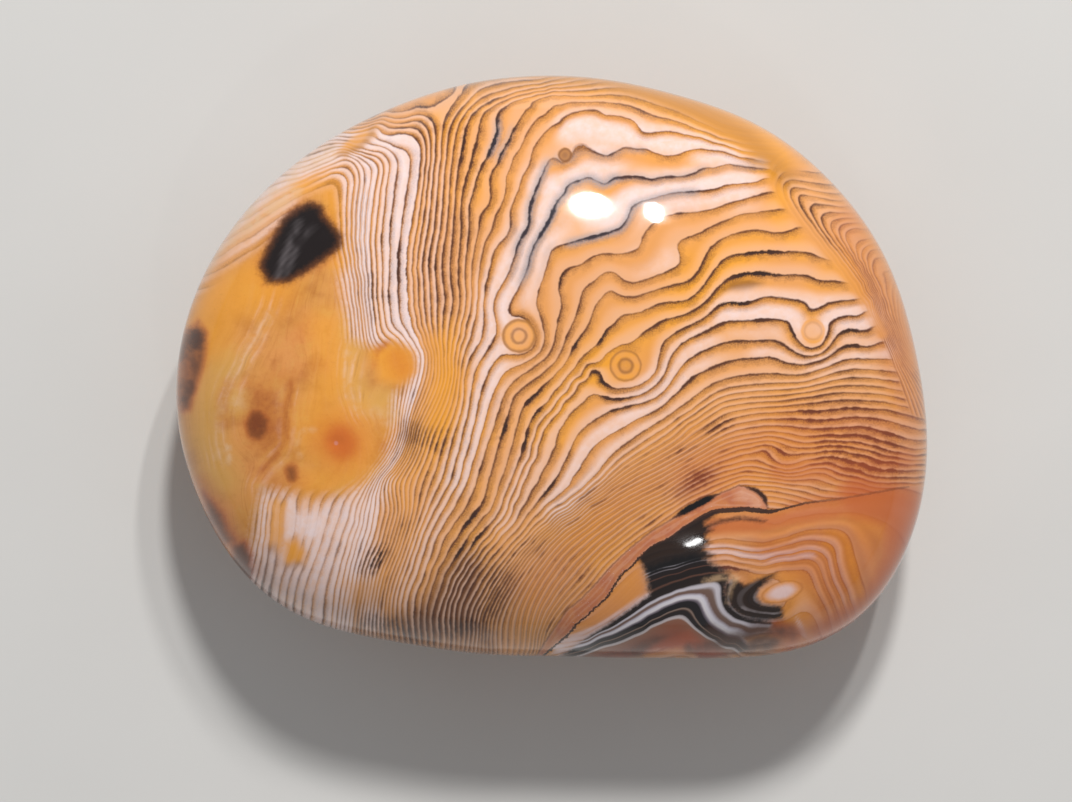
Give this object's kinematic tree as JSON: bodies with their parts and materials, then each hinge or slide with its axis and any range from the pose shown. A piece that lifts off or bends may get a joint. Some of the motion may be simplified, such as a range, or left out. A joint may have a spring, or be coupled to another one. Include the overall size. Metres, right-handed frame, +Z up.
{
  "type": "polished banded carnelian agate pebble",
  "caption": "Tumbled and polished banded carnelian agate pebble: an uneven oval with a flattish dome, a rounded underside and a small flat to rest on.",
  "frame": {"origin": "middle of the pebble's box, on the flat that it rests on", "axes": "+X along the pebble's length, +Y across it, +Z up through its thickness"},
  "size_m": [0.062, 0.0482, 0.025],
  "materials": {
    "carnelian_agate": "polished"
  },
  "bodies": {
    "root": {"agate_pebble": "carnelian_agate"}
  },
  "joints": []
}
